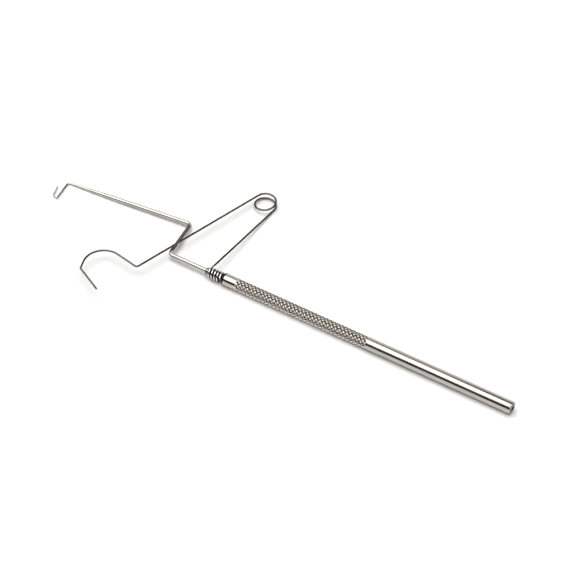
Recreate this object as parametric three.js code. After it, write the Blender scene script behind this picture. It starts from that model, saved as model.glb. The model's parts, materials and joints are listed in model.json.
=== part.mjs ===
// A rotating whip finisher: the hand tool that ties off the thread at the head of a fishing fly.
//
// A knurled steel handle carries a bearing. A cranked rod, the offset arm, spins in it and ends in a
// small hook. A spring wire is wound round a bush on that rod, runs out sideways to a safety-pin loop,
// and comes back over the rod to a V and a round hook, which the loop lets swing a little.
//
// Millimetres. X runs along the handle: 0 is the handle's mouth, +X is the tail, -X the working end.
// The handle lies along the bench. The arm and the wire are drawn flat, in x, y and a lift z above the
// rod's own centre line, and the whole arm is then turned about X until the wire's loop meets the bench.

import * as THREE from 'three';

// ---- Driving dimensions -------------------------------------------------------------------------

// Handle
const handleDiameter = 4.0;
const handleLength = 101.6;
const mouthChamferLength = 0.5;
const mouthChamferDepth = 0.28;
const tailChamfer = 0.3;
const tailBoreDiameter = 1.7;
const tailBoreDepth = 6.0;
const drillPointAngle = 118;

// Knurl: two crossing sets of grooves that leave a net of small pyramids
const knurlStart = 5.2;
const knurlLength = 44.2;
const knurlStarts = 9;
const knurlPitch = 1.38;
const knurlDepth = 0.2;

// Bearing in the handle's mouth
const bushDiameter = 3.0;
const bushLength = 8.0;
const bushLeadChamfer = 0.12;

// Offset arm
const rodDiameter = 1.5;
const shaftAhead = 20.3;
const crankHeight = 15.0;
const crankLean = 1.4;
const crankBendRadius = 1.6;
const armLength = 46.0;
const armFall = 4.0;
const armDrop = 1.3;
const taperLength = 14.5;
const fingerDiameter = 0.65;
const fingerLength = 7.9;
const fingerLean = 1.0;
const fingerBendRadius = 1.2;
const barbDiameter = 0.36;
const barbGap = 1.8;
const barbRise = 0.5;
const barbLength = 4.1;
const barbLean = 1.2;
const barbBendRadius = 0.36;

// Collar that keeps the arm's shaft in the handle
const collarDiameter = 2.6;
const collarLength = 1.5;

// Bush that carries the spring wire
const springBushDiameter = 2.35;
const springBushLength = 6.1;
const springBushNoseRadius = 0.32;

// Spring wire
const wireDiameter = 0.6;
const windingTurns = 4.1;
const windingGap = 0.42;
const loopRadius = 3.48;
const loopCentreAhead = 6.05;
const loopCentreOut = 35.5;
const loopDrop = 0.55;
const loopRise = 2.2;
const bendAhead = 25.3;
const bendOut = 11.24;
const bendRadius = 1.0;
const hookRadius = 6.5;
const hookCentreAhead = 34.85;
const hookCentreOut = 16.1;
const hookCornerAhead = 40.1;
const hookCornerOut = 21.0;
const hookCornerRadius = 0.5;
const hookTailLength = 10.5;
const hookTailAngle = -26.5;

// Clearances
const runningClearance = 0.08;
const seatClearance = 0.03;
const windingClearance = 0.1;
const endPlay = 0.3;
const wireCut = 0.3;
const crossingClearance = 0.16;
const boreRunOut = 1.2;

// Fineness of the facets
const rodSides = 20;
const wireSides = 8;
const woundSides = 6;
const stepsPerTurn = 24;
const bendStep = 15;

// ---- Sizes that follow --------------------------------------------------------------------------

const handleRadius = handleDiameter / 2;
const bushRadius = bushDiameter / 2;
const rodRadius = rodDiameter / 2;
const wireRadius = wireDiameter / 2;
const springBushRadius = springBushDiameter / 2;
const bearingRadius = rodRadius + runningClearance;
const seatRadius = rodRadius + seatClearance;
const collarStart = bushLength + endPlay;
const shaftInside = collarStart + collarLength;
const mouthBoreDepth = shaftInside + boreRunOut;
const springBushRear = -endPlay;
const springBushFront = springBushRear - springBushLength;

const windingRadius = springBushRadius + windingClearance + wireRadius;
const windingPitch = wireDiameter + windingGap;
const windingRear = springBushRear - wireRadius;
const windingFront = windingRear - windingTurns * windingPitch;
const crossingLift = rodRadius + wireRadius + crossingClearance;

const loopCentre = new THREE.Vector2(-loopCentreAhead, loopCentreOut);
const bendPoint = new THREE.Vector2(-bendAhead, -bendOut);
const hookCentre = new THREE.Vector2(-hookCentreAhead, -hookCentreOut);
const hookCorner = new THREE.Vector2(-hookCornerAhead, -hookCornerOut);
const legStart = new THREE.Vector3(windingFront, 0, windingRadius);
const turnedSides = 4 * knurlStarts;
const halfFacet = Math.PI / turnedSides;
const restingHeight = handleRadius * Math.cos(halfFacet);
const lieAngle = Math.asin((restingHeight - wireRadius - loopDrop) / (loopCentreOut + loopRadius));

// ---- Materials ----------------------------------------------------------------------------------

const handleSteel = new THREE.MeshStandardMaterial({ color: 0xc4c5c7, roughness: 0.24, metalness: 1 });
const rodSteel = new THREE.MeshStandardMaterial({ color: 0xcfd0d2, roughness: 0.2, metalness: 1 });
const wireSteel = new THREE.MeshStandardMaterial({ color: 0xb9babd, roughness: 0.18, metalness: 1 });
const bushBrass = new THREE.MeshStandardMaterial({ color: 0xb79a5b, roughness: 0.35, metalness: 1 });

// ---- Surfaces made of rings ---------------------------------------------------------------------

// Six times the volume that the triangles enclose; negative when they face inward.
function signedVolume(positions, triangles) {
  const corner = [new THREE.Vector3(), new THREE.Vector3(), new THREE.Vector3()];
  let volume = 0;
  for (let i = 0; i < triangles.length; i += 3) {
    corner.forEach((point, k) => point.fromArray(positions, 3 * triangles[i + k]));
    volume += corner[0].dot(corner[1].clone().cross(corner[2]));
  }
  return volume;
}

// A BufferGeometry whose triangles all face outward.
function outwardSolid(positions, triangles) {
  if (signedVolume(positions, triangles) < 0) triangles.reverse();
  const geometry = new THREE.BufferGeometry();
  geometry.setAttribute('position', new THREE.Float32BufferAttribute(positions, 3));
  geometry.setIndex(triangles);
  geometry.computeVertexNormals();
  return geometry;
}

const distanceFromX = (point) => Math.hypot(point.y, point.z);

// Two rings with as many points: each square is split along its lower diagonal,
// so a groove between two pyramids stays a straight, sharp line.
function joinEqualRings(a, b, startA, startB, triangles) {
  const count = a.length;
  for (let k = 0; k < count; k++) {
    const next = (k + 1) % count;
    const forward = distanceFromX(a[k]) + distanceFromX(b[next]);
    const backward = distanceFromX(a[next]) + distanceFromX(b[k]);
    if (forward < backward - 1e-6) {
      triangles.push(startA + k, startA + next, startB + next);
      triangles.push(startA + k, startB + next, startB + k);
    } else {
      triangles.push(startA + k, startA + next, startB + k);
      triangles.push(startA + next, startB + next, startB + k);
    }
  }
}

// A ring joined to one with half as many points. The order is turned when the fine ring comes second.
function joinToHalf(fine, coarse, startFine, startCoarse, fineFirst, triangles) {
  const put = (a, b, c) => (fineFirst ? triangles.push(a, b, c) : triangles.push(a, c, b));
  for (let k = 0; k < coarse.length; k++) {
    const next = (k + 1) % coarse.length;
    const middle = startFine + 2 * k + 1;
    put(startFine + 2 * k, middle, startCoarse + k);
    put(middle, startFine + 2 * next, startCoarse + next);
    put(middle, startCoarse + next, startCoarse + k);
  }
}

// A ring closed onto a single point.
function closeRing(ring, startRing, apex, ringFirst, triangles) {
  for (let k = 0; k < ring.length; k++) {
    const next = (k + 1) % ring.length;
    if (ringFirst) triangles.push(startRing + k, startRing + next, apex);
    else triangles.push(startRing + next, startRing + k, apex);
  }
}

// One closed skin through a row of rings, of which the first and last are single points.
function skinOfRings(rings) {
  const positions = [];
  const starts = [];
  for (const ring of rings) {
    starts.push(positions.length / 3);
    for (const point of ring) positions.push(point.x, point.y, point.z);
  }
  const triangles = [];
  for (let i = 0; i + 1 < rings.length; i++) {
    const [a, b, startA, startB] = [rings[i], rings[i + 1], starts[i], starts[i + 1]];
    if (a.length === 1) closeRing(b, startB, startA, false, triangles);
    else if (b.length === 1) closeRing(a, startA, startB, true, triangles);
    else if (a.length === b.length) joinEqualRings(a, b, startA, startB, triangles);
    else if (a.length > b.length) joinToHalf(a, b, startA, startB, true, triangles);
    else joinToHalf(b, a, startB, startA, false, triangles);
  }
  return outwardSolid(positions, triangles);
}

// A ring of points round the X axis, whose radius may change from point to point. Everything turned
// has its first point half a facet off the top, so the handle lies on a flat facet and not on an edge.
function ringRoundX(x, sides, radiusAt) {
  const ring = [];
  for (let k = 0; k < sides; k++) {
    const angle = (2 * Math.PI * k) / sides + halfFacet;
    const radius = radiusAt(k);
    ring.push(new THREE.Vector3(x, radius * Math.sin(angle), radius * Math.cos(angle)));
  }
  return ring;
}

// A piece turned on a lathe about the X axis. The profile's points are [x, radius].
function turned(profile) {
  const points = profile.map(([x, radius]) => new THREE.Vector2(radius, x));
  const lathe = new THREE.LatheGeometry(points, turnedSides, halfFacet).rotateZ(-Math.PI / 2);
  return outwardSolid(Array.from(lathe.attributes.position.array), Array.from(lathe.index.array));
}

// ---- Bent wire and rod --------------------------------------------------------------------------

// A round bar through a row of centre points. Its radius may change along it.
function bentBar(points, sides, radiusAt) {
  const rings = [[points[0]]];
  const side = new THREE.Vector3(0, 0, 1);
  points.forEach((point, i) => {
    const before = points[Math.max(i - 1, 0)];
    const after = points[Math.min(i + 1, points.length - 1)];
    const incoming = point.clone().sub(before).normalize();
    const outgoing = after.clone().sub(point).normalize();
    const along = incoming.add(outgoing).normalize();
    side.addScaledVector(along, -side.dot(along)).normalize();
    const across = along.clone().cross(side);
    const radius = radiusAt(i);
    const ring = [];
    for (let k = 0; k < sides; k++) {
      const angle = (2 * Math.PI * k) / sides;
      const spoke = side.clone().multiplyScalar(radius * Math.cos(angle));
      spoke.addScaledVector(across, radius * Math.sin(angle));
      ring.push(spoke.add(point));
    }
    rings.push(ring);
  });
  rings.push([points[points.length - 1]]);
  return skinOfRings(rings);
}

// The points of an arc that rounds the corner between two straight runs.
function roundedCorner(before, corner, after, radius) {
  const toBefore = before.clone().sub(corner).normalize();
  const toAfter = after.clone().sub(corner).normalize();
  const turn = Math.PI - toBefore.angleTo(toAfter);
  const reach = radius * Math.tan(turn / 2);
  const bisector = toBefore.clone().add(toAfter).normalize();
  const centre = corner.clone().addScaledVector(bisector, Math.hypot(radius, reach));
  const spoke = corner.clone().addScaledVector(toBefore, reach).sub(centre);
  const axis = spoke.clone().cross(toBefore).normalize().negate();
  const steps = Math.max(2, Math.ceil(THREE.MathUtils.radToDeg(turn) / bendStep));
  const points = [];
  for (let i = 0; i <= steps; i++) {
    points.push(spoke.clone().applyAxisAngle(axis, (turn * i) / steps).add(centre));
  }
  return points;
}

// The angles at which a wire meets a circle that it is led round anticlockwise, coming from one point
// and leaving for another, after so many whole turns more.
function anglesRound(centre, radius, from, to, wholeTurns) {
  const coming = from.clone().sub(centre);
  const leaving = to.clone().sub(centre);
  const start = Math.atan2(coming.y, coming.x) + Math.acos(radius / coming.length());
  let end = Math.atan2(leaving.y, leaving.x) - Math.acos(radius / leaving.length());
  while (end < start) end += 2 * Math.PI;
  return [start, end + 2 * Math.PI * wholeTurns];
}

// Points along that circle, lifted from one height to another.
function pointsRound(centre, radius, angles, steps, liftAt) {
  const points = [];
  for (let i = 0; i <= steps; i++) {
    const share = i / steps;
    const angle = angles[0] + (angles[1] - angles[0]) * share;
    const x = centre.x + radius * Math.cos(angle);
    const y = centre.y + radius * Math.sin(angle);
    points.push(new THREE.Vector3(x, y, liftAt(share)));
  }
  return points;
}

// A point a set distance from one point towards another.
function stepTowards(from, to, distance) {
  return from.clone().addScaledVector(to.clone().sub(from).normalize(), distance);
}

// The least gap that a wound wire leaves to itself, between points at least half a turn apart.
function leastGapToItself(points, diameter) {
  let least = Infinity;
  for (let i = 0; i < points.length; i++) {
    for (let j = i + stepsPerTurn / 2; j < points.length; j++) {
      least = Math.min(least, points[i].distanceTo(points[j]) - diameter);
    }
  }
  return least;
}

// ---- Handle -------------------------------------------------------------------------------------

// The knurl's rings: pyramid tips and groove crossings take turns along and around the handle.
function knurlRings() {
  const halfStep = knurlPitch / 2;
  const count = Math.floor(knurlLength / halfStep);
  const first = knurlStart + (knurlLength - (count - 1) * halfStep) / 2;
  const tip = handleRadius;
  const crossing = tip - knurlDepth;
  const rings = [];
  for (let i = 0; i < count; i++) {
    rings.push(ringRoundX(first + i * halfStep, 2 * knurlStarts, (k) => ((i + k) % 2 ? crossing : tip)));
  }
  return rings;
}

// A bar with a knurled grip, a bored mouth for the bearing and a small bore in its tail.
function handleGeometry() {
  const circle = (x, radius) => ringRoundX(x, turnedSides, () => radius);
  const centre = (x) => [new THREE.Vector3(x, 0, 0)];
  const drillSlope = Math.tan(THREE.MathUtils.degToRad(drillPointAngle / 2));
  const tailBoreRadius = tailBoreDiameter / 2;
  return skinOfRings([
    centre(mouthBoreDepth + bushRadius / drillSlope),
    circle(mouthBoreDepth, bushRadius),
    circle(0, bushRadius),
    circle(0, handleRadius - mouthChamferDepth),
    circle(mouthChamferLength, handleRadius),
    circle(knurlStart, handleRadius),
    ...knurlRings(),
    circle(knurlStart + knurlLength, handleRadius),
    circle(handleLength - tailChamfer, handleRadius),
    circle(handleLength, handleRadius - tailChamfer),
    circle(handleLength, tailBoreRadius),
    circle(handleLength - tailBoreDepth, tailBoreRadius),
    centre(handleLength - tailBoreDepth - tailBoreRadius / drillSlope),
  ]);
}

// The sleeve in the handle's mouth that the arm's shaft turns in.
function bearingBushGeometry() {
  const outer = bushRadius - seatClearance;
  return turned([
    [0, bearingRadius + bushLeadChamfer],
    [0, outer],
    [bushLength, outer],
    [bushLength, bearingRadius],
    [bushLeadChamfer, bearingRadius],
    [0, bearingRadius + bushLeadChamfer],
  ]);
}

// ---- Offset arm ---------------------------------------------------------------------------------

// The centre line of the rod: shaft, crank, arm, finger and barb.
function offsetArmPoints() {
  const shaftEnd = new THREE.Vector3(shaftInside, 0, 0);
  const lowerBend = new THREE.Vector3(-shaftAhead, 0, 0);
  const upperBend = new THREE.Vector3(-shaftAhead - crankLean, crankHeight, 0);
  const corner = upperBend.clone().add(new THREE.Vector3(-armLength, -armFall, -armDrop));
  const barbStart = corner.clone().add(new THREE.Vector3(fingerLean, -fingerLength, 0));
  const barbTurn = barbStart.clone().add(new THREE.Vector3(-barbGap, barbRise, 0));
  const barbTip = barbTurn.clone().add(new THREE.Vector3(-barbLean, barbLength, 0));
  const taperStart = stepTowards(corner, upperBend, taperLength);
  return [
    shaftEnd,
    ...roundedCorner(shaftEnd, lowerBend, upperBend, crankBendRadius),
    ...roundedCorner(lowerBend, upperBend, corner, crankBendRadius),
    taperStart,
    ...roundedCorner(taperStart, corner, barbStart, fingerBendRadius),
    ...roundedCorner(corner, barbStart, barbTurn, barbBendRadius),
    ...roundedCorner(barbStart, barbTurn, barbTip, barbBendRadius),
    barbTip,
  ];
}

// Distance along a row of points, from its start to each.
function distancesAlong(points) {
  const distances = [0];
  for (let i = 1; i < points.length; i++) {
    distances.push(distances[i - 1] + points[i].distanceTo(points[i - 1]));
  }
  return distances;
}

// Full size to the taper, thinned to the finger over its length, and on to the barb's point.
function offsetArmGeometry() {
  const points = offsetArmPoints();
  const distances = distancesAlong(points);
  const total = distances[distances.length - 1];
  const hookEnd = fingerLength + barbGap + barbLength;
  const radiusAt = (i) => {
    const left = total - distances[i];
    const inTaper = THREE.MathUtils.clamp((left - hookEnd) / taperLength, 0, 1);
    const inHook = THREE.MathUtils.clamp(left / hookEnd, 0, 1);
    const hookDiameter = THREE.MathUtils.lerp(barbDiameter, fingerDiameter, inHook);
    return THREE.MathUtils.lerp(hookDiameter, rodDiameter, inTaper) / 2;
  };
  return bentBar(points, rodSides, radiusAt);
}

// A collar fast on the shaft's inner end, behind the bearing.
function endCollarGeometry() {
  const outer = collarDiameter / 2;
  return turned([
    [collarStart, seatRadius],
    [collarStart, outer],
    [collarStart + collarLength, outer],
    [collarStart + collarLength, seatRadius],
    [collarStart, seatRadius],
  ]);
}

// ---- Spring wire --------------------------------------------------------------------------------

// The bush under the winding, fast on the rod, with a rounded nose.
function springBushGeometry() {
  const profile = [[springBushFront, seatRadius]];
  const noseSteps = 4;
  for (let i = 0; i <= noseSteps; i++) {
    const angle = (Math.PI / 2) * (i / noseSteps);
    const x = springBushFront + springBushNoseRadius * (1 - Math.sin(angle));
    profile.push([x, springBushRadius - springBushNoseRadius * (1 - Math.cos(angle))]);
  }
  const straight = profile.slice(1).reverse();
  return turned([
    profile[0],
    ...straight,
    [springBushRear, springBushRadius],
    [springBushRear, seatRadius],
    profile[0],
  ]);
}

// The loop's angles: it takes the rear leg's wire on and lets the front leg's go, a turn and a half later.
function loopAngles() {
  const from = new THREE.Vector2(legStart.x, legStart.y);
  return anglesRound(loopCentre, loopRadius, from, bendPoint, 1);
}

// The loop climbs gently at both ends, where the legs lie flat, and fastest half way.
function loopPoints() {
  const angles = loopAngles();
  const turns = (angles[1] - angles[0]) / (2 * Math.PI);
  const steps = Math.round(turns * stepsPerTurn);
  const liftAt = (share) => {
    const climbed = share - Math.sin(2 * Math.PI * share) / (2 * Math.PI);
    return loopRise * climbed - loopDrop;
  };
  return pointsRound(loopCentre, loopRadius, angles, steps, liftAt);
}

// The winding's inner end, its turns round the bush and the leg out to the loop.
function springWindingPoints() {
  const points = [];
  const steps = Math.round(windingTurns * stepsPerTurn);
  for (let i = steps; i >= 0; i--) {
    const angle = -2 * Math.PI * windingTurns * (i / steps);
    const x = windingFront + windingTurns * windingPitch * (i / steps);
    const y = windingRadius * Math.sin(angle);
    points.push(new THREE.Vector3(x, y, windingRadius * Math.cos(angle)));
  }
  const innerEnd = points[0].clone().sub(points[1]).normalize();
  const loopStart = loopPoints()[0];
  return [
    points[0].clone().addScaledVector(innerEnd, wireDiameter),
    ...points,
    stepTowards(loopStart, legStart, wireCut),
  ];
}

// The front leg, the V, the round hook and its straight tail.
function hookWirePoints() {
  const loopEnd = loopPoints().pop();
  const bend = new THREE.Vector3(bendPoint.x, bendPoint.y, crossingLift);
  const corner = new THREE.Vector3(hookCorner.x, hookCorner.y, crossingLift);
  const tailAngle = THREE.MathUtils.degToRad(hookTailAngle);
  const tailRun = new THREE.Vector3(Math.cos(tailAngle), Math.sin(tailAngle), 0);
  const tip = corner.clone().addScaledVector(tailRun, hookTailLength);
  const angles = anglesRound(hookCentre, hookRadius, bendPoint, hookCorner, 0);
  const steps = Math.ceil(THREE.MathUtils.radToDeg(angles[1] - angles[0]) / bendStep) * 2;
  const round = pointsRound(hookCentre, hookRadius, angles, steps, () => crossingLift);
  return [
    stepTowards(loopEnd, bend, wireCut),
    ...roundedCorner(loopEnd, bend, round[0], bendRadius),
    ...round,
    ...roundedCorner(round[round.length - 1], corner, tip, hookCornerRadius),
    tip,
  ];
}

// ---- Assembly -----------------------------------------------------------------------------------

function piece(name, geometry, material) {
  const mesh = new THREE.Mesh(geometry, material);
  mesh.name = name;
  return mesh;
}

const windingLine = springWindingPoints();
const loopLine = loopPoints();
const windingLeast = leastGapToItself(windingLine, wireDiameter);
const loopLeast = leastGapToItself(loopLine, wireDiameter);
console.log(`least gap of the winding to itself: ${windingLeast.toFixed(3)} mm`);
console.log(`least gap of the loop to itself: ${loopLeast.toFixed(3)} mm`);

const handle = new THREE.Group();
handle.add(piece('handle', handleGeometry(), handleSteel));
handle.add(piece('bearing_bush', bearingBushGeometry(), bushBrass));

const arm = new THREE.Group();
arm.rotation.x = -lieAngle;
arm.add(piece('offset_arm', offsetArmGeometry(), rodSteel));
arm.add(piece('end_collar', endCollarGeometry(), bushBrass));
arm.add(piece('spring_bush', springBushGeometry(), rodSteel));
arm.add(piece('spring_winding', bentBar(windingLine, woundSides, () => wireRadius), wireSteel));
arm.add(piece('spring_loop', bentBar(loopLine, woundSides, () => wireRadius), wireSteel));
arm.add(piece('hook_wire', bentBar(hookWirePoints(), wireSides, () => wireRadius), wireSteel));

const tool = new THREE.Group();
tool.add(handle, arm);

// The origin is under the middle of the tool, on the bench that it lies on.
tool.updateMatrixWorld(true);
const extent = new THREE.Box3().setFromObject(tool, true);
const middle = extent.getCenter(new THREE.Vector3());
tool.position.set(-middle.x, -middle.y, -extent.min.z);

const group = new THREE.Group();
group.name = 'whip_finisher';
group.add(tool);

export default group;
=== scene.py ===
# %% [markdown]
# # A rotating whip finisher in polished steel
# This tool ties off the thread at the head of a fishing fly. It has a knurled handle, a cranked rod that
# spins in it, and one spring wire that is wound round the rod, looped like a safety pin and bent into a
# round hook. The CAD model gives its bodies and sizes. Here each part is made again with finer surfaces,
# finished in steel, and lit on a white table.

# %% Load the frame
import json
import math

import bpy
from mathutils import Matrix, Vector


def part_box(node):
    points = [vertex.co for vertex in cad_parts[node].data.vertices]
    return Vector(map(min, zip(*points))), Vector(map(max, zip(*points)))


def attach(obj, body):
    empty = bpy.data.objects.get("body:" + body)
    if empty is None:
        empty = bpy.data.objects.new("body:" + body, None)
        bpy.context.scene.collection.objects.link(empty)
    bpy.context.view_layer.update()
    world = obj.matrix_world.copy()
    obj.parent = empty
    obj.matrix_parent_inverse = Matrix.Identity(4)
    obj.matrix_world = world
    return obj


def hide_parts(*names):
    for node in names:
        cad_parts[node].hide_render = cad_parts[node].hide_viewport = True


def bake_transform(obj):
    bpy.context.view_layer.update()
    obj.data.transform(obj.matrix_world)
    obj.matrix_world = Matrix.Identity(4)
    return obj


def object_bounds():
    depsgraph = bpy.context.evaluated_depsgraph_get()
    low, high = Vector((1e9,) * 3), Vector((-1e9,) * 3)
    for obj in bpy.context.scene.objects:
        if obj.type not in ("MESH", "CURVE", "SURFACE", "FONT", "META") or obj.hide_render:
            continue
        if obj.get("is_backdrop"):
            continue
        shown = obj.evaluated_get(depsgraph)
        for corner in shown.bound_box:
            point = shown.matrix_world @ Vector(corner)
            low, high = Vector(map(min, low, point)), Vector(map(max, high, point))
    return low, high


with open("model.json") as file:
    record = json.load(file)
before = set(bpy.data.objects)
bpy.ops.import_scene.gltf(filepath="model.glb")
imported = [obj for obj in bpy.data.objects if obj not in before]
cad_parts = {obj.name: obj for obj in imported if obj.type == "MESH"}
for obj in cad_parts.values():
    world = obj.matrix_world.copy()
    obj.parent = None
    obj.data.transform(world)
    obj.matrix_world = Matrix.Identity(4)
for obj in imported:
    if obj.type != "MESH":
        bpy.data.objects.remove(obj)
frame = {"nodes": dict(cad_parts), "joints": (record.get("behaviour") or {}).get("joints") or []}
cad_bounds = [list(corner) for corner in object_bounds()]

# %% [markdown]
# ## Places
# Sizes are written in millimetres, as on a drawing, and turned into metres in one place. The handle's
# axis is the middle of the bearing bush, which is round and lies on it. The arm and its wire are drawn
# flat, with x along the handle, y out to the side and a small lift z, and the whole arm leans about the
# handle's axis, as the spring joint's axis says.

# %% Places on the tool
MM = 0.001
bush_low, bush_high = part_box("bearing_bush")
handle_low, handle_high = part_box("handle")
mouth = Vector((handle_low.x, (bush_low.y + bush_high.y) / 2, (bush_low.z + bush_high.z) / 2))
tail_x = handle_high.x
joints = {joint["name"]: joint for joint in frame["joints"]}
arm_up = Vector(joints["spring_flex"]["axis"]).normalized()
arm_frame = Matrix.Translation(mouth) @ Matrix.Rotation(-math.atan2(arm_up.y, arm_up.z), 4, "X")


def on_arm(x, y, z=0.0):
    """A point of the arm's own drawing, in millimetres from the handle's mouth, as a place in the scene."""
    return arm_frame @ Vector((x * MM, y * MM, z * MM))


print("handle's mouth:", tuple(round(v / MM, 2) for v in mouth), "tail at", round(tail_x / MM, 2))

# %% [markdown]
# ## Camera
# The tool is long and thin, so the camera looks along neither axis: it stands to the right of square and
# about half way up to overhead. A long lens keeps the far end from shrinking.

# %% Camera
AZIMUTH, ELEVATION, DISTANCE = math.radians(30.917), math.radians(48.0), 0.6
LENS_LENGTH, NEAREST, FARTHEST = 120.41, 0.01, 20.0
AIM_ALONG, AIM_ASIDE = 18.155, 7.543
aim = mouth + Vector((AIM_ALONG, AIM_ASIDE, 0.0)) * MM
back = Vector(
    (
        math.sin(AZIMUTH) * math.cos(ELEVATION),
        -math.cos(AZIMUTH) * math.cos(ELEVATION),
        math.sin(ELEVATION),
    )
)
camera = bpy.data.objects.new("camera", bpy.data.cameras.new("camera"))
bpy.context.scene.collection.objects.link(camera)
camera.location = aim + back * DISTANCE
camera.rotation_mode = "QUATERNION"
camera.rotation_quaternion = (-back).to_track_quat("-Z", "Y")
camera.data.lens = LENS_LENGTH
camera.data.clip_start, camera.data.clip_end = NEAREST, FARTHEST
bpy.context.scene.camera = camera
bpy.context.scene.view_settings.view_transform = "Standard"
print("camera at", tuple(round(v, 3) for v in camera.location))

# %% [markdown]
# ## Helpers for modelling
# Every operator acts on what is selected, so each step starts with a clean selection. A part is finished
# when its shape and place are both in its mesh and its object stands unturned at the origin. A bent part
# starts as a chain: one small plane is merged to a point, and the next points are extruded from it.


# %% Helpers for modelling
MERGE_NEAR, MERGE_FINE = 1e-6, 1e-7


def deselect_all():
    if bpy.context.object and bpy.context.object.mode != "OBJECT":
        bpy.ops.object.mode_set(mode="OBJECT")
    bpy.ops.object.select_all(action="DESELECT")


def pick_only(piece):
    deselect_all()
    piece.select_set(True)
    bpy.context.view_layer.objects.active = piece


def name_it(name):
    piece = bpy.context.object
    piece.name = piece.data.name = name
    return piece


def settle(piece):
    """Puts the piece's place into its mesh."""
    pick_only(piece)
    bpy.ops.object.transform_apply(location=True, rotation=True, scale=True)
    return piece


def smooth(piece, angle):
    """Shades faces as one surface where they meet at less than the angle, in degrees."""
    pick_only(piece)
    bpy.ops.object.shade_smooth_by_angle(angle=math.radians(angle))


def draw_chain(places):
    """Draws points in a row, each extruded from the one before, and stays in edit mode."""
    deselect_all()
    bpy.ops.mesh.primitive_plane_add(size=MM, location=places[0])
    bpy.ops.object.mode_set(mode="EDIT")
    bpy.ops.mesh.merge(type="CENTER")
    for here, there in zip(places, places[1:]):
        bpy.ops.mesh.extrude_region_move(TRANSFORM_OT_translate={"value": there - here})


def close_seams(near):
    """Merges the mesh's doubled points, points its faces outwards and leaves edit mode."""
    bpy.ops.mesh.select_all(action="SELECT")
    bpy.ops.mesh.remove_doubles(threshold=near)
    bpy.ops.mesh.normals_make_consistent(inside=False)
    bpy.ops.object.mode_set(mode="OBJECT")


def report(piece):
    triangles = sum(len(face.vertices) - 2 for face in piece.data.polygons)
    print(f"{piece.name}: {triangles} triangles")


# %% [markdown]
# ## Helpers for finishes
# A finish is a small network of shader nodes. Writing its maths as plain expressions keeps it readable,
# so one class wraps a node's output and adds a Math node for each operator, and another adds any node.


# %% A node's output
class Value:
    """One output of a node. Plain arithmetic on it adds Math nodes."""

    def __init__(self, finish, socket):
        self.finish, self.socket = finish, socket

    def math(self, operation, first, second):
        return self.finish.add("ShaderNodeMath", {"operation": operation}, {0: first, 1: second})

    def __add__(self, other):
        return self.math("ADD", self, other)

    def __radd__(self, other):
        return self.math("ADD", other, self)

    def __sub__(self, other):
        return self.math("SUBTRACT", self, other)

    def __rsub__(self, other):
        return self.math("SUBTRACT", other, self)

    def __mul__(self, other):
        return self.math("MULTIPLY", self, other)

    def __rmul__(self, other):
        return self.math("MULTIPLY", other, self)


print("operators that make nodes: + - *")


# %% A finish
class Finish:
    """A material whose nodes all come from one method."""

    def __init__(self, name):
        self.material = bpy.data.materials.new(name)
        self.open_tree(self.material)

    def open_tree(self, owner):
        owner.use_nodes = True
        self.tree = owner.node_tree
        self.tree.nodes.clear()

    def add(self, kind, settings=None, inputs=None, output=0):
        """Adds a node with its settings, then its values and links, and gives one of its outputs."""
        node = self.tree.nodes.new(kind)
        for key, value in (settings or {}).items():
            setattr(node, key, value)
        for key, value in (inputs or {}).items():
            if isinstance(value, Value):
                self.tree.links.new(value.socket, node.inputs[key])
            else:
                node.inputs[key].default_value = value
        return Value(self, node.outputs[output]) if len(node.outputs) else None

    def place(self):
        """Where on the piece the shader is, in metres."""
        return self.add("ShaderNodeTexCoord", output="Object")

    def along(self, where):
        """How far along the handle's direction a place lies, in metres."""
        return self.add("ShaderNodeSeparateXYZ", None, {0: where})

    def from_axis(self, where):
        """How far from the handle's axis a place lies, in metres."""
        node = "ShaderNodeVectorMath"
        spoke = self.add(node, {"operation": "SUBTRACT"}, {0: where, 1: (0.0, mouth.y, mouth.z)})
        spoke = self.add(node, {"operation": "MULTIPLY"}, {0: spoke, 1: (0.0, 1.0, 1.0)})
        return self.add(node, {"operation": "LENGTH"}, {0: spoke}, output=1)

    def noise(self, where, scale, detail, stretch=(1.0, 1.0, 1.0)):
        """Noise with so many lumps a millimetre, which may be squeezed along each axis."""
        mapped = self.add("ShaderNodeMapping", None, {"Vector": where, "Scale": stretch})
        inputs = {"Vector": mapped, "Scale": scale / MM, "Detail": detail}
        return self.add("ShaderNodeTexNoise", None, inputs)

    def blend(self, amount, first, second):
        """A colour between two."""
        settings = {"data_type": "RGBA", "clamp_factor": True}
        return self.add("ShaderNodeMix", settings, {0: amount, 6: first, 7: second}, output=2)

    def between(self, value, low, high):
        """A value moved to run from 0 at low to 1 at high, and held there."""
        inputs = {"Value": value, "From Min": low, "From Max": high, "To Min": 0.0, "To Max": 1.0}
        return self.add("ShaderNodeMapRange", {"clamp": True}, inputs)

    def bump(self, height, strength, depth):
        """A normal that leans as if the height were that deep, in millimetres."""
        inputs = {"Height": height, "Strength": strength, "Distance": depth * MM}
        return self.add("ShaderNodeBump", None, inputs)

    def metal(self, colour, roughness, normal):
        inputs = {"Base Color": colour, "Metallic": 1.0, "Roughness": roughness, "Normal": normal}
        shader = self.add("ShaderNodeBsdfPrincipled", None, inputs)
        self.add("ShaderNodeOutputMaterial", None, {"Surface": shader})
        return self.material


print("materials before finishing:", len(bpy.data.materials))
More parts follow.
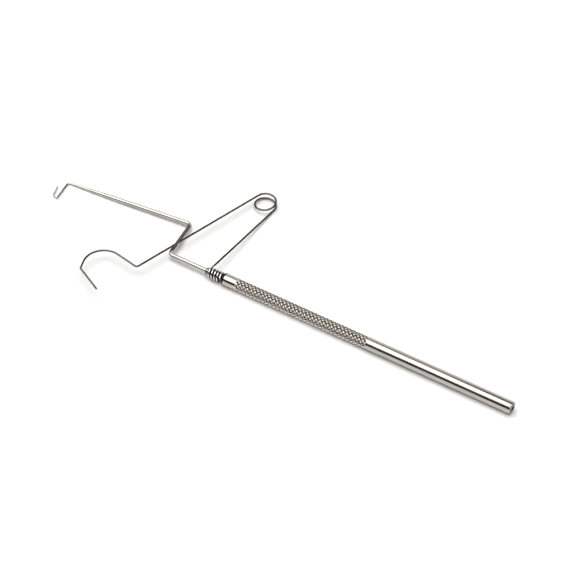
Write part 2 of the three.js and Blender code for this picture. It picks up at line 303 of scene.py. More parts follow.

# %% [markdown]
# ## Finish: turned steel
# The plain tail of the handle comes off a lathe and is then polished, so fine rings run round it and a
# broad highlight runs along it. The rings are noise squeezed hard along the handle. They go into a very
# shallow bump and, more gently, into the roughness. Handling leaves faint duller patches. Painted shade
# darkens the mouth, in the gap where the rod goes in. The tail's end face is painted dark, as a painted
# reflection of the shaded table beside it, and its bore is painted dark, as shade in the hole. Distances
# along the handle and from its axis say where each of these lies, so no picture has to be painted.


# %% Finish: turned steel
STEEL = (0.50, 0.477, 0.448, 1.0)
STEEL_SHADE = (0.41, 0.387, 0.361, 1.0)
# Painted shade: the dark of the handle's mouth and of the tail's bore. The brass rim uses it too.
PAINTED_SHADE = (0.03, 0.026, 0.022, 1.0)
# Painted reflection of the table's shadow, on the tail's end face.
END_FACE_SHADE = (0.13, 0.12, 0.11, 1.0)
# Where the painted shade at the mouth starts and where it is full, in millimetres from the mouth.
MOUTH_SHADE_ENDS, MOUTH_SHADE_FULL = 0.95, 0.80
# Where the end face's painted reflection starts and where it is full, in millimetres from the tail.
FACE_STARTS, FACE_FULL = 0.16, 0.04
# Radii where the bore's painted shade starts and where it is full.
BORE_ENDS, BORE_FULL = 1.30, 1.00


def turned_steel():
    finish = Finish("turned_steel")
    where = finish.place()
    rings = finish.noise(where, 1.0, detail=4.0, stretch=(14.0, 0.05, 0.05))
    patches = finish.noise(where, 0.12, detail=2.0)
    dull = finish.between(patches, 0.45, 0.75)
    along = finish.along(where)
    # Painted shade at the handle's mouth.
    mouth_shade = finish.between(along, mouth.x + MOUTH_SHADE_ENDS * MM, mouth.x + MOUTH_SHADE_FULL * MM)
    # Painted dark reflection on the tail's end face.
    end_face_shade = finish.between(along, tail_x - FACE_STARTS * MM, tail_x - FACE_FULL * MM)
    # Painted shade in the tail's bore.
    bore = finish.between(finish.from_axis(where), BORE_ENDS * MM, BORE_FULL * MM)
    colour = finish.blend(0.35 * dull + 0.25 * rings, STEEL, STEEL_SHADE)
    colour = finish.blend(mouth_shade, colour, PAINTED_SHADE)
    colour = finish.blend(end_face_shade, colour, END_FACE_SHADE)
    colour = finish.blend(bore, colour, PAINTED_SHADE)
    roughness = 0.15 + 0.08 * rings + 0.07 * dull
    return finish.metal(colour, roughness, finish.bump(rings, 0.12, 0.01))


turned = turned_steel()
print("finish:", turned.name)

# %% [markdown]
# ## Finish: knurled steel
# The knurl is pressed in, not cut. Its pyramids keep bright steel on their tips, and their grooves are
# painted dark as shade. How far a point lies from the handle's axis says which it is. A fine noise is
# added to that height, so the painted shade ends in an uneven edge on each pyramid's slopes.


# %% Finish: knurled steel
HANDLE_RADIUS, KNURL_DEPTH = 2.0, 0.27
KNURL_TIP = (0.86, 0.80, 0.745, 1.0)
# Painted shade in the knurl's grooves.
GROOVE_SHADE = (0.060, 0.046, 0.034, 1.0)
# Heights, 0 in a groove and 1 on a tip, where the painted shade ends and where it is full.
UNSHADED_HEIGHT, SHADED_HEIGHT = 0.88, 0.30


def knurled_steel():
    finish = Finish("knurled_steel")
    where = finish.place()
    groove_radius = (HANDLE_RADIUS - KNURL_DEPTH) * MM
    height = finish.between(finish.from_axis(where), groove_radius, HANDLE_RADIUS * MM)
    grit = finish.noise(where, 7.0, detail=4.0)
    # Painted shade: full in the grooves, none on the tips.
    groove_shade = finish.between(height + 0.5 * grit, UNSHADED_HEIGHT, SHADED_HEIGHT)
    colour = finish.blend(groove_shade, KNURL_TIP, GROOVE_SHADE)
    roughness = 0.20 + 0.10 * groove_shade + 0.10 * grit
    return finish.metal(colour, roughness, finish.bump(grit, 0.35, 0.02))


knurled = knurled_steel()
print("finish:", knurled.name)

# %% [markdown]
# ## Finish: polished rod and drawn wire
# Rod and wire are drawn through a die, which leaves them bright with faint streaks, and here and there a
# little duller where a bending tool held them. The wire is bright steel painted dark, as a painted
# reflection of dark surroundings. The bush under the winding is turned from a greyer steel.
# Where the wire is wound, painted highlights lie on the turns' crests and painted shade between them. A
# point's distance from the axis tells crest from gap, so one material serves the whole wire.


# %% Finish: polished rod and drawn wire
WINDING_RADIUS = 1.575
CREST_STARTS, CREST_FULL = WINDING_RADIUS + 0.10, WINDING_RADIUS + 0.28
WINDING_ENDS, WINDING_FULL = 2.6, 2.2
LEG_STARTS, LEG_CLEAR = 5.2, 5.6
# Painted highlight on the crests of the winding.
CREST_HIGHLIGHT = (0.78, 0.77, 0.75, 1.0)
# Painted shade in the gaps between the turns.
GAP_SHADE = (0.04, 0.038, 0.035, 1.0)


def winding_highlight_and_shade(finish, where, colour):
    """The wire's colour with painted highlights on the crests and painted shade in the gaps where it is
    wound.
    """
    radius = finish.from_axis(where)
    outside = finish.between(radius, CREST_STARTS * MM, CREST_FULL * MM)
    wound = finish.between(radius, WINDING_ENDS * MM, WINDING_FULL * MM)
    along = finish.along(where)
    wound = wound * finish.between(along, mouth.x - LEG_CLEAR * MM, mouth.x - LEG_STARTS * MM)
    colour = finish.blend(wound * outside, colour, CREST_HIGHLIGHT)
    return finish.blend(wound * (1.0 - outside), colour, GAP_SHADE)


def drawn_steel(name, bright, shade, polish, light_and_shade=None):
    finish = Finish(name)
    where = finish.place()
    streaks = finish.noise(where, 1.6, detail=4.0)
    cloud = finish.noise(where, 0.25, detail=2.0)
    dull = finish.between(cloud, 0.4, 0.75)
    colour = finish.blend(0.5 * dull + 0.3 * streaks, bright, shade)
    # Adds the winding's painted highlight and shade.
    if light_and_shade:
        colour = light_and_shade(finish, where, colour)
    roughness = polish + 0.05 * streaks + 0.04 * dull
    return finish.metal(colour, roughness, finish.bump(streaks, 0.10, 0.01))


rod_steel = drawn_steel("polished_rod", (0.55, 0.526, 0.498, 1.0), (0.42, 0.40, 0.376, 1.0), 0.04)
# Painted shade: both wire colours are darkened to stand in for dark reflections on bright steel.
wire_painted_dark, wire_painted_darker = (0.155, 0.155, 0.151, 1.0), (0.095, 0.095, 0.092, 1.0)
wire_steel = drawn_steel("spring_wire", wire_painted_dark, wire_painted_darker, 0.05, winding_highlight_and_shade)
bush_steel = drawn_steel("turned_bush", (0.24, 0.23, 0.217, 1.0), (0.17, 0.163, 0.154, 1.0), 0.08)
print("finishes:", [finish.name for finish in (rod_steel, wire_steel, bush_steel)])

# %% [markdown]
# ## Finish: plain brass
# The bearing bush and the collar behind it sit inside the handle, and only the bearing's rim can be seen,
# in the mouth. Brass is a common bearing for a steel shaft. It gets fine lathe rings like the handle's,
# and its rim is painted dark, as shade in the mouth. These two are the CAD solids as they are, since
# so little of them shows.


# %% Finish: plain brass
BRASS = (0.62, 0.47, 0.22, 1.0)
BRASS_SHADE = (0.50, 0.36, 0.15, 1.0)
# Where the painted shade on the rim starts and where it is full, in millimetres from the mouth.
RIM_SHADE_ENDS, RIM_SHADE_FULL = 0.40, 0.10


def plain_brass():
    finish = Finish("plain_brass")
    where = finish.place()
    rings = finish.noise(where, 1.0, detail=3.0, stretch=(10.0, 0.1, 0.1))
    along = finish.along(where)
    # Painted shade on the bearing's rim, at the mouth.
    mouth_shade = finish.between(along, mouth.x + RIM_SHADE_ENDS * MM, mouth.x + RIM_SHADE_FULL * MM)
    colour = finish.blend(rings, BRASS, BRASS_SHADE)
    colour = finish.blend(mouth_shade, colour, PAINTED_SHADE)
    return finish.metal(colour, 0.28 + 0.12 * rings, finish.bump(rings, 0.15, 0.01))


brass = plain_brass()
for node_name in ("bearing_bush", "end_collar"):
    frame["nodes"][node_name].data.materials.clear()
    frame["nodes"][node_name].data.materials.append(brass)
print("finish:", brass.name)

# %% [markdown]
# ## The handle
# A turned bar is a row of circles, so one circle is drawn at the bottom of the mouth's bore and extruded
# ring by ring, each time moved along and resized, just as the profile runs. A spin of the outline would
# do too, as for the spring bush below. Rings were chosen because the knurl's net grows from them: that
# stretch is extruded once, and its long edges are cut twice, into 272 bands.


# %% Helpers for turned parts
AROUND = 72
FIRST_ANGLE = 5.0


def ring_at(x, radius):
    """Starts a turned part with an open ring round the handle's axis."""
    deselect_all()
    place = mouth + Vector((x * MM, 0.0, 0.0))
    bpy.ops.mesh.primitive_circle_add(
        vertices=AROUND, radius=radius * MM, fill_type="NOTHING", location=place
    )
    ring = bpy.context.object
    ring.rotation_euler = (math.radians(FIRST_ANGLE - 90.0), 0.0, 0.0)
    ring.data.transform(Matrix.Rotation(math.radians(90.0), 4, "Y"))
    settle(ring)
    bpy.ops.object.mode_set(mode="EDIT")
    bpy.ops.mesh.select_all(action="SELECT")
    return ring


def next_ring(last, x, radius):
    """Extrudes the selected ring to a new place along the axis and a new radius."""
    step = Vector(((x - last[0]) * MM, 0.0, 0.0))
    bpy.ops.mesh.extrude_region_move(TRANSFORM_OT_translate={"value": step})
    if radius != last[1]:
        share = radius / last[1]
        centre = mouth + Vector((x * MM, 0.0, 0.0))
        bpy.ops.transform.resize(value=(1.0, share, share), center_override=centre)
    return (x, radius)


def close_at(last, x):
    """Ends a turned part on its axis."""
    step = Vector(((x - last[0]) * MM, 0.0, 0.0))
    bpy.ops.mesh.extrude_region_move(TRANSFORM_OT_translate={"value": step})
    bpy.ops.mesh.merge(type="CENTER")


print("points round the handle:", AROUND)

# %% Profile of the handle
KNURL_FIRST, KNURL_HALF_STEP, KNURL_HALF_STEPS = 5.22, 0.69, 68
KNURL_LAST = KNURL_FIRST + KNURL_HALF_STEP * KNURL_HALF_STEPS
HANDLE_LENGTH = (tail_x - mouth.x) / MM
# Each pair is how far along from the mouth, and the radius there.
PROFILE_BEFORE = [
    (11.0, 1.5), (0.0, 1.5), (0.0, 1.70), (0.06, 1.76), (0.46, 1.985), (0.54, 2.0),
    (2.4, 2.0), (KNURL_FIRST, 2.0),
]
PROFILE_AFTER = [
    (KNURL_LAST, 2.0), (62.0, 2.0), (80.0, 2.0), (HANDLE_LENGTH - 0.32, 2.0),
    (HANDLE_LENGTH - 0.24, 1.98), (HANDLE_LENGTH - 0.04, 1.76), (HANDLE_LENGTH, 1.68),
    (HANDLE_LENGTH, 0.92), (HANDLE_LENGTH - 0.06, 0.85), (HANDLE_LENGTH - 6.0, 0.85),
]
TAIL_BORE_CONE = 0.5
print("knurl runs", round(KNURL_FIRST, 2), "to", round(KNURL_LAST, 2), "of", round(HANDLE_LENGTH, 2))

# %% [markdown]
# ## The knurl
# Each groove of the knurl lies on a diagonal of the fine net, so the pyramids are carved by drawing the
# points in towards the axis in four steps: most at the grooves, less up the slopes, and a touch just
# under the tips, which leaves them blunt. Groups of points are picked by how far they are from a groove.
# A Displace modifier could do the same, but it would need the pattern as a texture.

# %% Carving the knurl
KNURL_STARTS = 9
DEGREES_A_HALF_STEP = 180.0 / KNURL_STARTS
# How far in each level of the net is drawn, as a share of the depth. 0 is a groove and 1 a tip.
DRAWN_IN = {0.0: 1.0, 0.25: 0.70, 0.5: 0.38, 0.75: 0.09}
LEVEL_REACH = 0.1
PLAIN_EDGE = 0.1
SKIN_RADIUS = 1.99


def height_in_knurl(point):
    """0 in a groove and 1 on a tip, for a point on the net."""
    spoke = point - mouth
    along = (spoke.x / MM - KNURL_FIRST) / KNURL_HALF_STEP - 0.5
    around = (math.degrees(math.atan2(spoke.y, spoke.z)) - FIRST_ANGLE) / DEGREES_A_HALF_STEP
    one = abs((along + around) % 2.0 - 1.0)
    other = abs((along - around) % 2.0 - 1.0)
    return min(one, other)


def carve_knurl(handle):
    """Draws the net's points in, one level after another."""
    bpy.ops.mesh.select_all(action="DESELECT")
    for level, share in DRAWN_IN.items():
        bpy.ops.object.mode_set(mode="OBJECT")
        for vertex in handle.data.vertices:
            x = (vertex.co.x - mouth.x) / MM
            inside = KNURL_FIRST + PLAIN_EDGE < x < KNURL_LAST - PLAIN_EDGE
            outer = math.hypot(vertex.co.y - mouth.y, vertex.co.z - mouth.z) > SKIN_RADIUS * MM
            near = abs(height_in_knurl(vertex.co) - level) < LEVEL_REACH
            vertex.select = inside and outer and near
        bpy.ops.object.mode_set(mode="EDIT")
        inward = 1.0 - share * KNURL_DEPTH / HANDLE_RADIUS
        bpy.ops.transform.resize(value=(1.0, inward, inward), center_override=mouth)
        bpy.ops.mesh.select_all(action="DESELECT")


print("knurl starts:", KNURL_STARTS, "depth", KNURL_DEPTH)

# %% Handle
CUTS = (16, 15)
EDGE_SLACK = 0.01
KNURL_FLOOR = 1.7
HANDLE_CREASE = 22.0


def make_handle():
    handle = ring_at(*PROFILE_BEFORE[0])
    last = PROFILE_BEFORE[0]
    for x, radius in PROFILE_BEFORE[1:] + PROFILE_AFTER:
        last = next_ring(last, x, radius)
    close_at(last, last[0] - TAIL_BORE_CONE)
    bpy.ops.mesh.select_mode(type="EDGE")
    for cuts in CUTS:
        bpy.ops.mesh.select_all(action="DESELECT")
        bpy.ops.object.mode_set(mode="OBJECT")
        for edge in handle.data.edges:
            a, b = ((handle.data.vertices[i].co.x - mouth.x) / MM for i in edge.vertices)
            inside = KNURL_FIRST - EDGE_SLACK < min(a, b) and max(a, b) < KNURL_LAST + EDGE_SLACK
            edge.select = inside and abs(a - b) > EDGE_SLACK
        bpy.ops.object.mode_set(mode="EDIT")
        bpy.ops.mesh.subdivide(number_cuts=cuts)
    bpy.ops.mesh.select_mode(type="VERT")
    carve_knurl(handle)
    return name_it("handle_turned")


handle = make_handle()
bpy.ops.object.mode_set(mode="EDIT")
bpy.ops.mesh.select_all(action="SELECT")
bpy.ops.mesh.remove_doubles(threshold=MERGE_NEAR)
bpy.ops.mesh.quads_convert_to_tris(quad_method="SHORTEST_DIAGONAL", ngon_method="BEAUTY")
bpy.ops.mesh.normals_make_consistent(inside=False)
bpy.ops.object.mode_set(mode="OBJECT")
smooth(handle, HANDLE_CREASE)
handle.data.materials.append(turned)
handle.data.materials.append(knurled)
for face in handle.data.polygons:
    x = (face.center.x - mouth.x) / MM
    outside = math.hypot(face.center.y - mouth.y, face.center.z - mouth.z) > KNURL_FLOOR * MM
    face.material_index = 1 if KNURL_FIRST < x < KNURL_LAST and outside else 0
report(handle)

# %% [markdown]
# ## The spring bush
# This is the short sleeve that the wire is wound on. It is a plain ring with a rounded nose, so its
# outline is drawn as a closed row of points and spun once round the axis. Rings like the handle's would
# do too, but a spin needs only the outline.


# %% Spring bush
BUSH_OUTER, BUSH_INNER, BUSH_NOSE, BUSH_CHAMFER = 1.175, 0.78, 0.32, 0.05
NOSE_STEPS, BUSH_STEPS, BUSH_CREASE = 6, 64, 35.0


def make_spring_bush():
    low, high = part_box("spring_bush")
    front, rear = (low.x - mouth.x) / MM, (high.x - mouth.x) / MM
    outline = [(rear, BUSH_INNER), (rear, BUSH_OUTER - BUSH_CHAMFER), (rear - BUSH_CHAMFER, BUSH_OUTER)]
    for step in range(NOSE_STEPS + 1):
        angle = math.radians(90.0 * step / NOSE_STEPS)
        x = front + BUSH_NOSE * (1 - math.sin(angle))
        outline.append((x, BUSH_OUTER - BUSH_NOSE * (1 - math.cos(angle))))
    outline += [(front, BUSH_INNER), (rear, BUSH_INNER)]
    draw_chain([on_arm(x, 0.0, radius) for x, radius in outline])
    bpy.ops.mesh.select_all(action="SELECT")
    bpy.ops.mesh.spin(steps=BUSH_STEPS, angle=math.tau, center=mouth, axis=(1.0, 0.0, 0.0))
    close_seams(MERGE_NEAR)
    return settle(name_it("spring_bush_turned"))


spring_bush = make_spring_bush()
smooth(spring_bush, BUSH_CREASE)
spring_bush.data.materials.append(bush_steel)
report(spring_bush)

# %% [markdown]
# ## Rod and wire
# Both are one round section led along a bent centre line. The centre line is drawn first, as a chain of
# points extruded from one another: bends get a point every few degrees and straight runs one every
# 2 mm. The chain is then made a curve, given its thickness, and made a mesh again. Straight bars with a
# spin at each bend would do too, but a single skin has no seams where they meet.


# %% Helpers for bent parts
BEND_STEP, FINE_BEND_STEP, LONGEST_STEP = 5.0, 12.0, 2.0
BAR_CREASE = 40.0
ROD_SIDES, WIRE_SIDES = 32, 16


def rounded(before, corner, after, radius, step=BEND_STEP):
    """The points of an arc that rounds a corner, in millimetres on the arm's drawing."""
    to_before, to_after = (before - corner).normalized(), (after - corner).normalized()
    turn = math.pi - to_before.angle(to_after)
    reach = radius * math.tan(turn / 2)
    centre = corner + (to_before + to_after).normalized() * math.hypot(radius, reach)
    spoke = corner + to_before * reach - centre
    axis = to_before.cross(spoke).normalized()
    steps = max(3, math.ceil(math.degrees(turn) / step))
    return [
        centre + Matrix.Rotation(turn * i / steps, 3, axis) @ spoke for i in range(steps + 1)
    ]


def with_steps(points):
    """The same path with points added on its long straight runs."""
    path = [points[0]]
    for here, there in zip(points, points[1:]):
        steps = math.ceil((there - here).length / LONGEST_STEP)
        path += [here.lerp(there, (i + 1) / steps) for i in range(steps)]
    return path


def led_along(name, points, radius_at, sides, material):
    """A round bar along points of the arm's drawing. radius_at takes the distance from the start."""
    places = [on_arm(*point) for point in with_steps(points)]
    draw_chain(places)
    bpy.ops.object.mode_set(mode="OBJECT")
    bpy.ops.object.transform_apply(location=True, rotation=True, scale=True)
    bpy.ops.object.convert(target="CURVE")
    curve = bpy.context.object.data
    curve.dimensions = "3D"
    curve.twist_mode = "MINIMUM"
    curve.bevel_depth = MM
    curve.bevel_resolution = sides // 4 - 1
    curve.use_fill_caps = True
    line = curve.splines[0].points
    order = list(line) if (line[0].co.xyz - places[0]).length < MERGE_NEAR else list(line)[::-1]
    distance, last = 0.0, order[0].co.xyz.copy()
    for point in order:
        distance += (point.co.xyz - last).length / MM
        last = point.co.xyz.copy()
        point.radius = radius_at(distance)
    bpy.ops.object.convert(target="MESH")
    bpy.ops.object.mode_set(mode="EDIT")
    close_seams(MERGE_FINE)
    piece = name_it(name)
    piece.data.materials.clear()
    piece.data.materials.append(material)
    smooth(piece, BAR_CREASE)
    report(piece)
    return piece


print("degrees between points in a bend:", BEND_STEP)

# %% [markdown]
# ## The offset arm
# One rod: the shaft in the bearing, a crank that steps it to the side, and a long arm. The last stretch
# is ground thinner, down to a fine finger, and bent back at its end into a barb that holds the thread.
# The path is a list of corners, each rounded, and the thickness follows from how far along a point lies.

# %% Offset arm
SHAFT_INSIDE, ROD_RADIUS, FINGER_RADIUS, BARB_RADIUS = 9.8, 0.75, 0.325, 0.18
ROD_BEND, FINGER_BEND, BARB_BEND = 1.6, 1.2, 0.36
FINGER_LENGTH, BARB_STEP, BARB_LENGTH, TAPER_LENGTH = 7.9, 1.8, 4.1, 14.5
TIP_LENGTH = FINGER_LENGTH + BARB_STEP + BARB_LENGTH
lower_bend = Vector((-20.3, 0.0, 0.0))
upper_bend = lower_bend + Vector((-1.4, 15.0, 0.0))
arm_corner = upper_bend + Vector((-46.0, -4.0, -1.3))
barb_start = arm_corner + Vector((1.0, -FINGER_LENGTH, 0.0))
barb_turn = barb_start + Vector((-BARB_STEP, 0.5, 0.0))
barb_tip = barb_turn + Vector((-1.2, BARB_LENGTH, 0.0))
shaft_end = Vector((SHAFT_INSIDE, 0.0, 0.0))
taper_start = arm_corner + (upper_bend - arm_corner).normalized() * TAPER_LENGTH
arm_points = [
    shaft_end,
    *rounded(shaft_end, lower_bend, upper_bend, ROD_BEND),
    *rounded(lower_bend, upper_bend, arm_corner, ROD_BEND),
    taper_start,
    *rounded(taper_start, arm_corner, barb_start, FINGER_BEND),
    *rounded(arm_corner, barb_start, barb_turn, BARB_BEND, step=FINE_BEND_STEP),
    *rounded(barb_start, barb_turn, barb_tip, BARB_BEND, step=FINE_BEND_STEP),
    barb_tip,
]
arm_total = sum((b - a).length for a, b in zip(arm_points, arm_points[1:]))


def arm_radius(distance):
    """The rod's radius so far from the shaft's inner end."""
    left = arm_total - distance
    in_taper = min(max((left - TIP_LENGTH) / TAPER_LENGTH, 0.0), 1.0)
    in_tip = min(max(left / TIP_LENGTH, 0.0), 1.0)
    tip_radius = BARB_RADIUS + (FINGER_RADIUS - BARB_RADIUS) * in_tip
    return tip_radius + (ROD_RADIUS - tip_radius) * in_taper


offset_arm = led_along("offset_arm_rod", arm_points, arm_radius, ROD_SIDES, rod_steel)

# %% [markdown]
# ## The spring wire
# One wire from end to end. It is wound on the spring bush, runs straight out to the loop, goes a turn and
# a half round it, and comes back over the rod to the V and the round hook. Each straight run meets its
# circle on a tangent, so the angles come from where the run starts and the circle's centre.


# %% Helpers for the wire's circles
def angles_round(centre, radius, start, end, whole_turns):
    """Where a wire led anticlockwise round a circle meets it and leaves it."""
    coming, leaving = start - centre, end - centre
    first = math.atan2(coming.y, coming.x) + math.acos(radius / coming.length)
    last = math.atan2(leaving.y, leaving.x) - math.acos(radius / leaving.length)
    while last < first:
        last += math.tau
    return first, last + math.tau * whole_turns


def round_circle(centre, radius, angles, lift_at):
    """Points round a circle. lift_at takes the share of the way from its first point to its last."""
    steps = math.ceil(math.degrees(angles[1] - angles[0]) / BEND_STEP)
    points = []
    for i in range(steps + 1):
        angle = angles[0] + (angles[1] - angles[0]) * i / steps
        x, y = centre.x + radius * math.cos(angle), centre.y + radius * math.sin(angle)
        points.append(Vector((x, y, lift_at(i / steps))))
    return points


print("points in a full circle:", round(360.0 / BEND_STEP))

# %% Path of the spring wire
WIRE_RADIUS, INNER_END_LENGTH, TURNS, PITCH = 0.33, 0.60, 4.1, 1.02
WINDING_REAR = -0.60
WINDING_FRONT = WINDING_REAR - TURNS * PITCH
CROSSING_LIFT, LOOP_DROP, LOOP_RISE = 1.21, 0.55, 2.2
LOOP_RADIUS, HOOK_RADIUS, V_BEND, TAIL_BEND = 3.48, 6.5, 1.0, 0.5
TAIL_ANGLE, TAIL_LENGTH = math.radians(-26.5), 10.5
loop_centre, hook_centre = Vector((-6.05, 35.5)), Vector((-34.85, -16.1))
bend_point, hook_corner = Vector((-25.3, -11.24)), Vector((-40.1, -21.0))


def loop_lift(share):
    return LOOP_RISE * (share - math.sin(math.tau * share) / math.tau) - LOOP_DROP


def winding_points():
    """From the inner end to where the leg leaves the top of the bush."""
    points = []
    steps = round(TURNS * 360.0 / BEND_STEP)
    for i in range(steps, -1, -1):
        angle = -math.tau * TURNS * i / steps
        x = WINDING_FRONT + TURNS * PITCH * i / steps
        points.append(Vector((x, WINDING_RADIUS * math.sin(angle), WINDING_RADIUS * math.cos(angle))))
    inner_end = points[0] + (points[0] - points[1]).normalized() * INNER_END_LENGTH
    return [inner_end, *points]


leg_start = Vector((WINDING_FRONT, 0.0))
loop_angles = angles_round(loop_centre, LOOP_RADIUS, leg_start, bend_point, 1)
loop = round_circle(loop_centre, LOOP_RADIUS, loop_angles, loop_lift)
hook_angles = angles_round(hook_centre, HOOK_RADIUS, bend_point, hook_corner, 0)
hook = round_circle(hook_centre, HOOK_RADIUS, hook_angles, lambda share: CROSSING_LIFT)
bend_corner = Vector((*bend_point, CROSSING_LIFT))
hook_turn = Vector((*hook_corner, CROSSING_LIFT))
hook_tip = hook_turn + Vector((math.cos(TAIL_ANGLE), math.sin(TAIL_ANGLE), 0.0)) * TAIL_LENGTH
wire_points = [
    *winding_points(),
    *loop,
    *rounded(loop[-1], bend_corner, hook[0], V_BEND),
    *hook,
    *rounded(hook[-1], hook_turn, hook_tip, TAIL_BEND, step=FINE_BEND_STEP),
    hook_tip,
]
print("points along the wire:", len(wire_points))

# %% Spring wire
def wire_radius(distance):
    """The wire is as thick all along."""
    return WIRE_RADIUS


spring_wire = led_along("spring_wire", wire_points, wire_radius, WIRE_SIDES, wire_steel)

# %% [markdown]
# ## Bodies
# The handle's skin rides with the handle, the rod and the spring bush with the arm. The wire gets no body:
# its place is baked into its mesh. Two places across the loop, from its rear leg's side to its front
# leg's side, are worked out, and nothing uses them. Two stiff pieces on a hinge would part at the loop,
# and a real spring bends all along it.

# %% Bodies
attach(handle, "handle")
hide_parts("handle")
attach(offset_arm, "arm")
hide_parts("offset_arm")
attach(spring_bush, "arm")
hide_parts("spring_bush")

LEG_REACH = 3.42
across = Vector((-0.975, 0.22)).normalized()
blend_start = loop_centre - across * LEG_REACH
blend_end = loop_centre + across * LEG_REACH
on_arm(*blend_start, 0.5)
on_arm(*blend_end, 0.5)
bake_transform(spring_wire)
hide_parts("spring_winding", "spring_loop", "hook_wire")
print("bodies set for", [p.name for p in (handle, offset_arm, spring_bush, spring_wire)])

# %% [markdown]
# ## Table
# The tool lies on a plain white sheet. White paint that only scatters light would look grey where the
# light thins out, and more light would burn out the steel. So a little plain white is mixed in for the
# rays that come from the camera, from glossy metal and through glass. The rest scatters light as paint
# does, and keeps the tool's shadow.

# %% Table
TABLE_SIZE = 6.0
FLOOR_GLOW = 0.05
SHEET_LOW, SHEET_HIGH = (0.945, 0.942, 0.938, 1.0), (0.965, 0.962, 0.958, 1.0)
SHEET_WHITE = (1.0, 0.998, 0.994, 1.0)


def seeing_rays(finish):
    """1 for a ray that shows its surface: straight, in a mirror, or through glass."""
    path = "ShaderNodeLightPath"
    mirrored = finish.add(path, output="Is Glossy Ray")
    through = finish.add(path, output="Is Transmission Ray")
    return finish.add(path, output="Is Camera Ray") + mirrored + through


def table_finish():
    finish = Finish("white_table")
    grain = finish.noise(finish.place(), 0.02, detail=2.0)
    paint = {
        "Base Color": finish.blend(grain, SHEET_LOW, SHEET_HIGH),
        "Roughness": 1.0,
        "Specular IOR Level": 0.0,
    }
    sheet = finish.add("ShaderNodeBsdfPrincipled", None, paint)
    white = finish.add("ShaderNodeEmission", None, {"Color": SHEET_WHITE, "Strength": 1.0})
    share = seeing_rays(finish) * FLOOR_GLOW
    mixed = finish.add("ShaderNodeMixShader", None, {0: share, 1: sheet, 2: white})
    finish.add("ShaderNodeOutputMaterial", None, {"Surface": mixed})
    return finish.material


deselect_all()
bpy.ops.mesh.primitive_plane_add(size=TABLE_SIZE, location=(0.0, 0.0, 0.0))
table = settle(name_it("table"))
table.data.materials.append(table_finish())
table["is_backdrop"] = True
print("table laid:", TABLE_SIZE, "m")

# %% [markdown]
# ## Room and lamp
# The room is a plain world: it lights the tool evenly and a touch warm, and shows as white wherever it is
# seen or mirrored. One large square lamp hangs almost overhead, so shadows are soft and stay close to the
# tool. Together they light a surface about as strongly as its colour is written. The lamp itself isn't
# mirrored. The bright cards below stand in for it, because their shape can be chosen.


# %% Room and lamp
ROOM_WARMTH = (1.0, 0.955, 0.925, 1.0)
ROOM_LEVEL = 0.30
WHITE = (1.0, 1.0, 1.0, 1.0)


class RoomFinish(Finish):
    """The same network for the world."""

    def __init__(self, name):
        self.world = bpy.data.worlds.new(name)
        bpy.context.scene.world = self.world
        self.open_tree(self.world)


def light_room(strength):
    finish = RoomFinish("room")
    plain = finish.add("ShaderNodeBackground", None, {"Color": ROOM_WARMTH, "Strength": strength})
    white = finish.add("ShaderNodeBackground", None, {"Color": WHITE, "Strength": 1.0})
    mixed = finish.add("ShaderNodeMixShader", None, {0: seeing_rays(finish), 1: plain, 2: white})
    finish.add("ShaderNodeOutputWorld", None, {"Surface": mixed})


def soft_lamp(name, place, size, watts):
    """A square lamp that faces the middle of the tool."""
    lamp = bpy.data.objects.new(name, bpy.data.lights.new(name, "AREA"))
    bpy.context.scene.collection.objects.link(lamp)
    lamp.data.shape = "SQUARE"
    lamp.data.size = size
    lamp.data.energy = watts
    lamp.location = place
    lamp.rotation_mode = "QUATERNION"
    lamp.rotation_quaternion = (aim - Vector(place)).to_track_quat("-Z", "Y")
    lamp.visible_glossy = False


light_room(ROOM_LEVEL)
soft_lamp("key_lamp", place=(-0.30, 0.10, 2.20), size=2.20, watts=56.5)
print("room level:", ROOM_LEVEL)

# %% [markdown]
# ## Cards
# Steel is a mirror: it looks like steel because of what stands round it. Cards stand all round the table
# and hang over it, each of one brightness. Only mirrored rays meet them, so neither the camera nor the
# shadows see them, and they light nothing else.


# %% Helpers for cards
CARD_TINT = (1.0, 0.985, 0.96, 1.0)
PANEL_HEIGHT = 1.0
DARK, DIM, ASH, GREY, SOFT, PALE, LIT, BRIGHT = 0.02, 0.25, 0.30, 0.50, 0.68, 0.95, 1.3, 2.90


def card_finish(name, level):
    """Plain card of a brightness, a touch warm."""
    finish = Finish(name)
    glow = finish.add("ShaderNodeEmission", None, {"Color": CARD_TINT, "Strength": level})
    finish.add("ShaderNodeOutputMaterial", None, {"Surface": glow})
    return finish.material


def hide_from_all_but_gloss(thing):
    thing.visible_camera = False
    thing.visible_diffuse = False
    thing.visible_transmission = False
    thing.visible_shadow = False
    thing.visible_volume_scatter = False


def card(name, corners, level):
    """A flat card between four corners, in metres."""
    deselect_all()
    bpy.ops.mesh.primitive_plane_add(size=1.0)
    sheet = bpy.context.object
    for vertex, corner in zip(sheet.data.vertices, corners):
        vertex.co = corner
    name_it(name)
    sheet.data.materials.append(card_finish(name, level))
    hide_from_all_but_gloss(sheet)
    sheet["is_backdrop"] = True


def wall(name, start, end, low, high, level):
    """A card that stands on edge over the line from start to end."""
    (ax, ay), (bx, by) = start, end
    card(name, [(ax, ay, low), (bx, by, low), (ax, ay, high), (bx, by, high)], level)


def panel(name, low, high, level):
    """A card laid flat overhead, between two corners."""
    (ax, ay), (bx, by) = low, high
    places = [(ax, ay), (bx, ay), (ax, by), (bx, by)]
    card(name, [(x, y, PANEL_HEIGHT) for x, y in places], level)


print("card levels:", DARK, "to", BRIGHT)

# %% [markdown]
# ### Cards that stand
# The handle and the arm lie across the view, so they mirror the near card: it puts the sharp dark line
# under their highlight, and the dimmer strip above it softens that line's edge. The crank and the legs of
# the wire point away from the camera and mirror the far and right-hand cards. Pale windows in the side
# cards put lighter streaks along the loop, the hook and the legs.

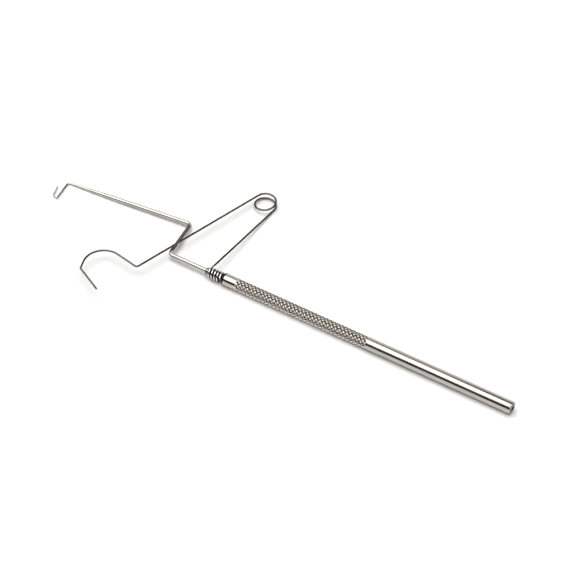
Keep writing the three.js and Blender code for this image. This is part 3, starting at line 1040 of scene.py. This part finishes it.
# %% Cards that stand
wall("near_card", (-1.6, -0.8), (1.2, -0.8), 0.02, 0.62, DARK)
wall("near_card_dim", (-1.6, -0.82), (1.2, -0.82), 0.62, 0.84, DIM)
wall("right_card", (0.6, -0.8), (0.6, 1.4), 0.02, 1.0, DARK)
wall("far_card_low", (-0.9, 1.0), (0.6, 1.0), 0.02, 0.58, PALE)
wall("far_card_high", (-0.9, 1.0), (0.6, 1.0), 0.58, 1.0, SOFT)
wall("far_card_left", (-1.4, 1.0), (-0.9, 1.0), 0.02, 1.0, DARK)
wall("left_card", (-1.4, -0.82), (-1.4, 1.0), 0.02, 1.0, DARK)
wall("left_window", (-1.38, -0.5), (-1.38, 0.5), 0.15, 0.42, PALE)
wall("right_window", (0.59, -0.30), (0.59, 0.40), 0.42, 0.95, PALE)
wall("right_window_low", (0.59, -0.25), (0.59, 0.25), 0.07, 0.20, PALE)
print("standing cards placed")

# %% [markdown]
# ### Panels overhead
# The bright panel gives the handle its broad highlight. Its far part is dimmer and ends on a slant beside
# a grey panel, so the upper edge of the highlight changes along the handle. The rest of the ceiling is
# grey or dark, because the crank and the legs mirror it, and they should look darker than the handle.

# %% Panels overhead
FAR_START, FAR_END, SLANT_START, SLANT_END = 0.3, 0.68, -0.375, -0.435


def slanted_panel(name, left, right, level):
    """A panel over the far side. left and right are each x where it starts and x where it ends."""
    places = [(left[0], FAR_START), (right[0], FAR_START), (left[1], FAR_END), (right[1], FAR_END)]
    card(name, [(x, y, PANEL_HEIGHT) for x, y in places], level)


panel("bright_panel", (-1.4, -0.85), (0.1, 0.3), BRIGHT)
slanted_panel("bright_panel_far", (-1.4, -1.4), (SLANT_START, SLANT_END), LIT)
slanted_panel("grey_panel", (SLANT_START, SLANT_END), (-0.2, -0.2), ASH)
panel("grey_panel_far", (-0.75, 0.68), (-0.2, 1.0), GREY)
panel("dark_panel_left", (-1.4, 0.68), (-0.75, 1.0), DARK)
panel("dark_panel", (-0.2, 0.3), (0.6, 1.4), DARK)
print("panels hung")

# %% [markdown]
# ## Size
# The boxes of the CAD model and of the finished tool are printed, one after the other. The finished tool
# must not be larger than the CAD model.

# %% Size
visual_bounds = [list(corner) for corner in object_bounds()]
for name, bounds in (("cad", cad_bounds), ("visual", visual_bounds)):
    print(name, [[round(v / MM, 3) for v in corner] for corner in bounds])
